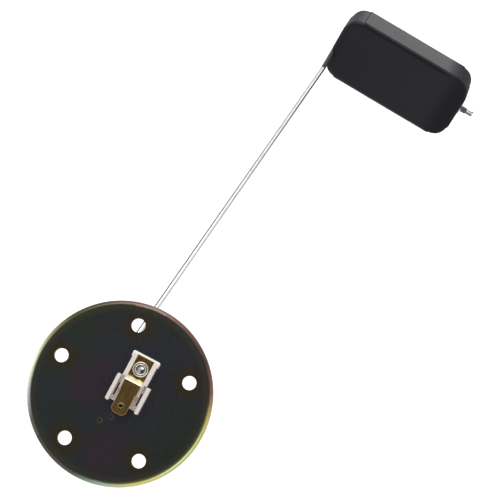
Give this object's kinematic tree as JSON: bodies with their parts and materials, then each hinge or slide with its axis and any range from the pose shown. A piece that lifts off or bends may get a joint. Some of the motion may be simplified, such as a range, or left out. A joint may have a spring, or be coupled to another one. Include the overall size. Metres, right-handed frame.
{
  "type": "fuel level sender",
  "caption": "Round bolted flange with a blade terminal, a wire-wound rheostat on a bracket below, and a foam float on a bent wire arm.",
  "frame": {"origin": "centre of the flange on its sealing face, the face that meets the tank", "axes": "+Z out of the tank, along the flange's axis; +Y the way the float arm reaches; +X to the right of the arm, the way the float lies from the arm"},
  "size_m": [0.0914, 0.2595, 0.1605],
  "materials": {
    "zinc_plated_flange": "dark iridescent zinc plate, satin",
    "zinc_plated_sheet": "yellow zinc plate, satin",
    "nylon": "natural nylon, warm white",
    "brass_blade": "rolled brass, tarnished",
    "brass_rivet": "bright brass",
    "brass_strip": "rolled brass, satin",
    "phenolic": "laminated phenolic, dull",
    "steel_bright": "bright steel",
    "fibre_card": "vulcanised fibre, dull",
    "resistance_wire": "drawn resistance wire",
    "bronze_bush": "sintered bronze",
    "spring_steel": "blued spring steel",
    "bright_wire": "drawn bright wire",
    "acetal": "black acetal",
    "bronze_spring": "phosphor bronze strip",
    "silver_contact": "silver contact, bright",
    "foam_float": "closed-cell foam with a smooth black skin",
    "dark_collar": "dark push-on collar"
  },
  "bodies": {
    "flange": {"flange_plate": "zinc_plated_flange", "mounting_bracket": "zinc_plated_sheet", "terminal_insulator": "nylon", "blade_terminal": "brass_blade", "terminal_rivet": "brass_rivet", "under_insulator": "nylon", "contact_strip": "brass_strip", "strip_rivet": "brass_rivet", "resistor_former": "phenolic", "former_rivets": "steel_bright", "resistance_card": "fibre_card", "resistance_winding": "resistance_wire", "card_clips": "brass_strip", "front_bush": "bronze_bush", "rear_bush": "bronze_bush", "wave_washer": "spring_steel", "rear_washer": "steel_bright"},
    "arm": {"pivot_shaft": "steel_bright", "retaining_clip": "spring_steel", "arm_lever": "zinc_plated_sheet", "arm_wire": "bright_wire", "wiper_hub": "acetal", "wiper": "bronze_spring", "wiper_rivets": "brass_rivet", "wiper_contact": "silver_contact", "float": "foam_float", "float_washer": "steel_bright", "float_collar": "dark_collar"}
  },
  "joints": [
    {"name": "arm_swing", "type": "hinge", "parent": "flange", "child": "arm", "pos_m": [0, 0, -0.024], "axis": [0.9994, 0.0349, 0], "range_deg": [-47, 23]}
  ]
}
